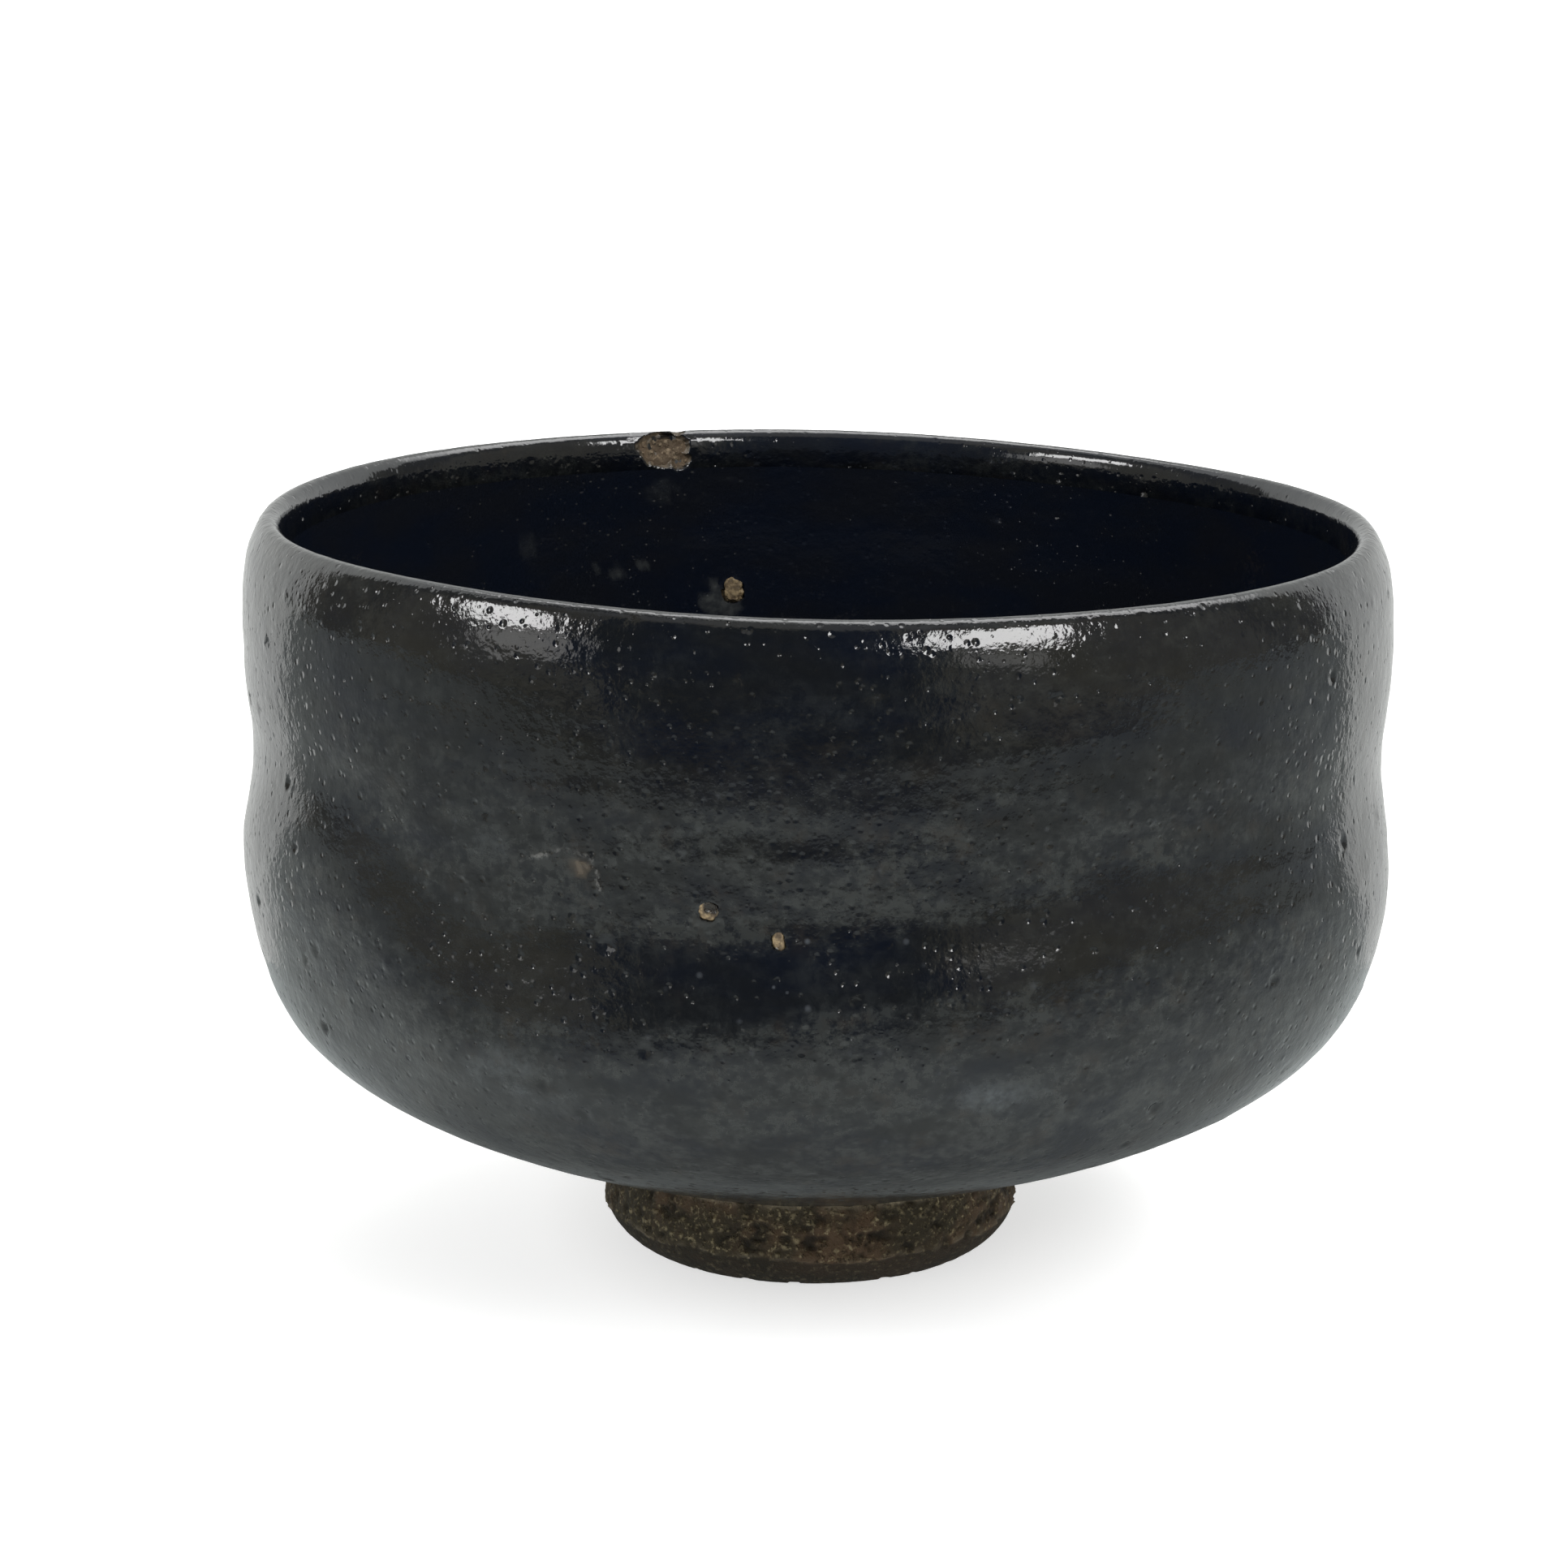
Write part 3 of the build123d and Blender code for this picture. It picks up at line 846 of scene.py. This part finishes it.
def foot_rows():
    """Rows of the foot ring. side is 1 outside, 0.6 in the bore, 0.5 on its bevel and 0 where nothing shows."""
    spacing = 0.27
    bevel_top = (FOOT_RADIUS, FOOT_BEVEL_HEIGHT)
    bevel = spline([(FOOT_RADIUS - FOOT_BEVEL, 0.0), (FOOT_RADIUS - 1.0, 1.65), bevel_top], (1, 0.5), (0.25, 1))
    neck = spline([bevel_top, (FOOT_RADIUS - 0.1, 6.3), (FOOT_NECK, FOOT_TOP)], (0.1, 1), (-0.15, 1))
    bore_bevel = np.array([[FOOT_BORE, BORE_BEVEL], [FOOT_BORE + BORE_BEVEL, 0.0]])
    rows = rows_of(bevel, spacing, 1.0)
    rows += rows_of(neck, spacing, 1.0)[1:]
    rows += [(r, FOOT_TOP, 0.0) for r in np.linspace(FOOT_NECK, FOOT_BORE, 6)[1:]]
    rows += [(FOOT_BORE, z, 0.6) for z in np.linspace(FOOT_TOP, BORE_BEVEL, 24)[1:]]
    rows += rows_of(bore_bevel, spacing, 0.5)[1:]
    rows += [(r, 0.0, 0.0) for r in np.linspace(FOOT_BORE + BORE_BEVEL, FOOT_RADIUS - FOOT_BEVEL, 10)[1:-1]]
    return rows


def make_foot_ring():
    """The turned foot: torn and gritty above a smoother bevel, with a burr along the line between them."""
    mesh = revolve("foot_ring_turned", foot_rows(), 520)
    refine(mesh, [])
    p, n, side = read(mesh)
    z = p[:, 2]
    outer_face = (np.hypot(p[:, 0], p[:, 1]) > 17.5) & (side > 0.9)
    line = FOOT_BEVEL_HEIGHT + 0.35 * noise(np.stack([p[:, 0], p[:, 1], 0 * z], 1), 3.0, 31)
    torn_zone = np.where(outer_face, ease(z, line - 0.1, line + 0.25), 0)
    smooth_zone = np.where(outer_face, 1 - torn_zone, 0)
    crumbs = rough_noise(p, 0.8, 32, 4)
    tears = np.clip(rough_noise(p * np.array([1, 1, 1.3]), 1.3, 33, 4) - 0.05, 0, 1)
    burr = np.exp(-((z - line - 0.35) / 0.3) ** 2) * np.clip(0.5 + 1.3 * noise(p, 0.7, 34), 0, 1.3)
    relief = torn_zone * (0.16 * crumbs - 0.75 * tears)
    relief += np.where(outer_face, 0.22 * burr, 0)
    relief += smooth_zone * (0.05 * rough_noise(p, 0.8, 35) - 0.12 * ease(z, 1.5, 3.0))
    relief += np.where((side > 0.4) & (side < 0.9), 0.10 * rough_noise(p, 1.0, 36), 0)
    chips = np.clip(noise(p, 1.6, 37) - 0.35, 0, 1) * np.exp(-((z - 0.2) / 0.5) ** 2)
    relief -= np.where(side > 0.4, 0.5 * chips, 0)
    # Painted highlight: the burr is paler at the left and right sides, where the lights catch it.
    lit_side = np.abs(np.cos(np.radians(turned(p))))
    pale_edge_and_light = np.where(outer_face, np.clip(burr, 0, 1) * (0.25 + 0.5 * lit_side ** 2), 0)
    # Painted light along the top of the foot, under the glaze's edge.
    pale_edge_and_light = np.maximum(pale_edge_and_light, np.where(outer_face, 0.6 * ease(z, 8.6, 9.1) * foot_joint_light(p), 0))
    # The smooth bevel faces down, and its darkening here is painted shade.
    torn_and_shade = np.clip(torn_zone * (2.2 * tears - 0.4 * crumbs) + 0.85 * smooth_zone, 0, 1)
    moved = p + n * relief[:, None]
    moved[:, 2] = np.maximum(moved[:, 2], 0.0)
    piece(mesh, hand_thrown(moved), foot_clay, "foot_ring", {"torn_and_shade": torn_and_shade, "pale_edge_and_light": pale_edge_and_light})


def shaped_stone(k, stone, q):
    """Moves the points of a unit ball to the k-th stone: an uneven lump, cut flat near the glazed surface."""
    centre, outward = stone_seat(stone)
    sideways = np.cross(UP, outward)
    out, along, upward = q @ outward, q @ sideways, q[:, 2]
    lumps = 1 + (0.5 if stone.shows_inside else 0.3) * rough_noise(q + k * 10, 0.9, 70, 4)
    proud = 0.25 if stone.radius < UNDER_GLAZE else GLAZE + (0.3 if stone.shows_inside else 0.0)
    top = STONE_SINK * stone.radius + proud
    depth = np.minimum(out * 1.6 * lumps * stone.radius, top + 0.12 * rough_noise(q + k * 10, 0.5, 72, 3))
    depth = np.maximum(depth, -0.9 * stone.radius)
    if stone.melt > 0.8:
        # A stone that has melted nearly away leaves a dark hollow.
        hollow = np.hypot(along - 0.3, upward - 0.35)
        depth = depth - 0.25 * (1 - ease(hollow, 0.2, 0.6)) * (out > 0)
        melt = 0.95 * (1 - ease(hollow + 0.35 * rough_noise(q, 0.6, 74), 0.5, 0.85))
    else:
        melt = stone.melt * patchy(q, 0.5, 75 + k, 0.7, 1)
    across, rise = along * stone.wide * lumps * stone.radius, upward * stone.tall * lumps * stone.radius
    q = across[:, None] * sideways + rise[:, None] * UP + depth[:, None] * outward
    return hand_thrown(q + centre), melt


def make_stones():
    """The nine stones, as one piece."""
    bm = bmesh.new()
    melts = []
    for k, stone in enumerate(STONES):
        made = bmesh.ops.create_icosphere(bm, subdivisions=5, radius=1.0)["verts"]
        shaped, melt = shaped_stone(k, stone, np.array([v.co for v in made]))
        melts.append(melt)
        for v, co in zip(made, shaped):
            v.co = co * MM
    mesh = bpy.data.meshes.new("stone_grain_set")
    bm.to_mesh(mesh)
    bm.free()
    points = np.array([v.co for v in mesh.vertices]) / MM
    # The painted glint, a white spot on one stone.
    glint_centre = hand_thrown(np.array([around(*GLINT_SPOT)]))
    painted_glint = 1 - ease(np.linalg.norm((points - glint_centre) * (1, 0.4, 0.6), axis=1), 0.16, 0.28)
    piece(mesh, points, tan_stone, "stone_grains", {"melt": np.concatenate(melts), "painted_glint": painted_glint})


make_outer_glaze()
make_inner_glaze()
make_clay_body()
make_foot_ring()
make_stones()


# ---------------------------------------------------------------- floor and table

FLOOR_RADIUS = 4.0
FLOOR_GLOW = 0.62
TABLE_FRONT = -0.215
TABLE_BACK = 0.5
TABLE_SIDE = 0.9
TABLE_END_RADIUS = 0.12
TABLE_DROP = 0.0002


def floor_material():
    """A plain matt sheet, lit a little from below as a light table is."""
    material, g = new_material("pale_floor")
    tone = g.mix(g.step(g.noise(40.0, 2.0), 0.3, 0.7), grey(0.62), grey(0.66))
    inputs = {"Base Color": tone, "Roughness": 0.9, "Specular IOR Level": 0.0, "Emission Strength": FLOOR_GLOW,
              "Emission Color": (1.0, 1.0, 1.0, 1.0)}
    g.surface(inputs, [(g.noise(0.6), 0.01)])
    return material


def table_painted_shadow_material():
    """The table that the glaze mirrors: darkest under the bowl, as painted shadow, lightest close round it."""
    material, g = new_material("table")
    far = g.add("ShaderNodeVectorMath", {0: g.place}, operation="LENGTH").outputs["Value"]
    # Painted shadow under the bowl, paler round it, darker again further out.
    tone = g.math("SUBTRACT", g.step(far, 0.036, 0.076, 0.13, 0.43), g.step(far, 0.09, 0.20, 0.0, 0.16))
    tinted = {0: g.times(tone, 0.94), 1: tone, 2: g.times(tone, 0.99)}
    colour = g.add("ShaderNodeCombineColor", tinted).outputs[0]
    g.surface({"Base Color": colour, "Roughness": 0.9, "Specular IOR Level": 0.0})
    return material


def lay(mesh, material):
    """Puts a sheet into the scene. It throws no shadow."""
    mesh.materials.append(material)
    obj = bpy.data.objects.new(mesh.name, mesh)
    bpy.context.scene.collection.objects.link(obj)
    obj.visible_shadow = False
    return obj


floor_mesh = bpy.data.meshes.new("floor")
bm = bmesh.new()
bmesh.ops.create_circle(bm, cap_ends=True, segments=96, radius=FLOOR_RADIUS)
bm.to_mesh(floor_mesh)
bm.free()
floor = lay(floor_mesh, floor_material())
floor.visible_glossy = False

# What the glaze mirrors is a sheet of white paper that ends in front of the bowl. At the back it narrows to a
# round end, so that the glaze mirrors the pale room there.
round_end = [(TABLE_END_RADIUS * math.sin(math.radians(t)), -TABLE_END_RADIUS * math.cos(math.radians(t)))
             for t in range(119, 242)]
outline = [(-TABLE_SIDE, TABLE_FRONT), (TABLE_SIDE, TABLE_FRONT), (TABLE_SIDE, TABLE_BACK), *round_end,
           (-TABLE_SIDE, TABLE_BACK)]
paper_mesh = bpy.data.meshes.new("paper")
paper_mesh.from_pydata([(x, y, -TABLE_DROP) for x, y in outline], [], [tuple(range(len(outline)))])
paper = lay(paper_mesh, table_painted_shadow_material())
paper.visible_camera = False
paper.visible_diffuse = False


# ---------------------------------------------------------------- studio surroundings

class Sky(Graph):
    """The world's node tree, drawn in degrees of elevation and of azimuth to the right of the camera's side."""

    def __init__(self, tree):
        super().__init__(tree)
        self.ray = self.coordinates.outputs["Generated"]
        height = self.add("ShaderNodeSeparateXYZ", {0: self.ray}).outputs[2]
        self.elevation = self.times(self.math("ARCSINE", height), 180 / math.pi)

    def azimuth_from(self, centre):
        """Degrees to the right of a centre."""
        turn = self.add("ShaderNodeVectorRotate", {"Vector": self.ray, "Angle": math.radians(-centre)},
                        rotation_type="Z_AXIS").outputs[0]
        xyz = self.add("ShaderNodeSeparateXYZ", {0: turn})
        angle = self.math("ARCTAN2", xyz.outputs[0], self.times(xyz.outputs[1], -1.0))
        return self.times(angle, 180 / math.pi)

    def panel(self, azimuth, level, half_width, half_height, soft, lean=0.0):
        """1 inside a soft-edged panel of the surroundings. lean moves it right as it goes up."""
        across = self.azimuth_from(azimuth)
        up = self.math("SUBTRACT", self.elevation, level)
        across = self.math("SUBTRACT", across, self.times(up, lean))
        a = self.step(self.math("ABSOLUTE", across), half_width - soft, half_width + soft, 1.0, 0.0)
        b = self.step(self.math("ABSOLUTE", up), half_height - soft, half_height + soft, 1.0, 0.0)
        return self.times(a, b)


# The dark front of the room, the notch in it, and the lights as (panel, power): the two windows whose highlights
# are under the lip, a weaker glow under each, and one behind the bowl.
FRONT = (-12.0, 25.0, 36.0, 36.0, 5.0)
NOTCH = (-46.0, -14.0, 9.0, 16.0, 2.0)
LIGHTS = [((-69.5, 36.5, 12.5, 8.0, 2.5, -0.6), 13.5), ((43.0, 41.0, 16.0, 11.0, 2.5, 0.7), 13.5),
          ((-56.5, 16.0, 11.5, 9.0, 2.0), 1.7), ((37.0, 17.0, 8.0, 6.5, 2.0), 1.0),
          ((160.0, 60.0, 42.0, 18.0, 7.0), 3.6)]


def make_surroundings():
    """The room that the glaze mirrors: a dark front, a pale backdrop, top and low wall, and soft lights."""
    world = bpy.data.worlds.new("studio")
    world.use_nodes = True
    bpy.context.scene.world = world
    g = Sky(world.node_tree)
    room = grey(0.40, (1.04, 1.0, 0.84))
    low_room = grey(0.19, (1.02, 1.0, 0.9))
    front = g.times(g.panel(*FRONT), g.math("SUBTRACT", 1.0, g.panel(*NOTCH)))
    sky = g.mix(g.step(g.elevation, -4.0, -12.0), room, low_room)
    sky = g.mix(front, sky, grey(0.11, (0.85, 1.0, 1.3)))
    # Lit from straight above, and pale again far below the level.
    sky = g.mix(g.step(g.elevation, 55.0, 72.0), sky, grey(0.62))
    sky = g.mix(g.step(g.elevation, -14.0, -34.0), sky, grey(0.62, (0.95, 1.0, 1.03)))
    # A dark gap at each side, and the pale backdrop behind the bowl.
    sideways = g.math("ABSOLUTE", g.azimuth_from(0.0))
    gap = g.times(g.step(sideways, 92.0, 102.0), g.step(g.elevation, -50.0, -30.0))
    sky = g.mix(g.times(gap, 0.7), sky, grey(0.14, (1.0, 1.0, 0.9)))
    paper_white = (0.98, 1.0, 0.98)
    backdrop = g.mix(g.step(sideways, 122.0, 168.0), grey(1.27, paper_white), grey(0.82, paper_white))
    sky = g.mix(g.step(sideways, 118.0, 121.0), sky, backdrop)
    strength = None
    for panel, power in LIGHTS:
        glow = g.times(g.panel(*panel), power)
        strength = g.math("ADD", strength, glow) if strength else glow
    glow = g.add("ShaderNodeCombineColor", {0: strength, 1: strength, 2: strength}).outputs[0]
    both = g.add("ShaderNodeMix", {0: 1.0, 6: sky, 7: glow}, data_type="RGBA", blend_type="ADD")
    background = g.add("ShaderNodeBackground", {"Color": both.outputs[2], "Strength": 1.0})
    g.add("ShaderNodeOutputWorld", {"Surface": background.outputs[0]})


make_surroundings()

# ---------------------------------------------------------------- camera

YAW, PITCH, ROLL = (math.radians(v) for v in (-0.44, -13.58, 0.215))
CAMERA_PLACE = (0.0, -0.447, 0.1568)
ahead = Vector((math.sin(YAW) * math.cos(PITCH), math.cos(YAW) * math.cos(PITCH), math.sin(PITCH)))
right = Vector((math.cos(YAW), -math.sin(YAW), 0.0))
up = right.cross(ahead)
right, up = (right * math.cos(ROLL) + up * math.sin(ROLL), up * math.cos(ROLL) - right * math.sin(ROLL))
camera_data = bpy.data.cameras.new("camera")
camera_data.lens = 100.0
camera_data.sensor_width = 36.0
camera_data.clip_start = 0.01
camera_data.clip_end = 50.0
camera = bpy.data.objects.new("camera", camera_data)
bpy.context.scene.collection.objects.link(camera)
pose = Matrix((right, up, -ahead)).transposed().to_4x4()
pose.translation = CAMERA_PLACE
camera.matrix_world = pose
bpy.context.scene.camera = camera
bpy.context.scene.view_settings.view_transform = "Standard"
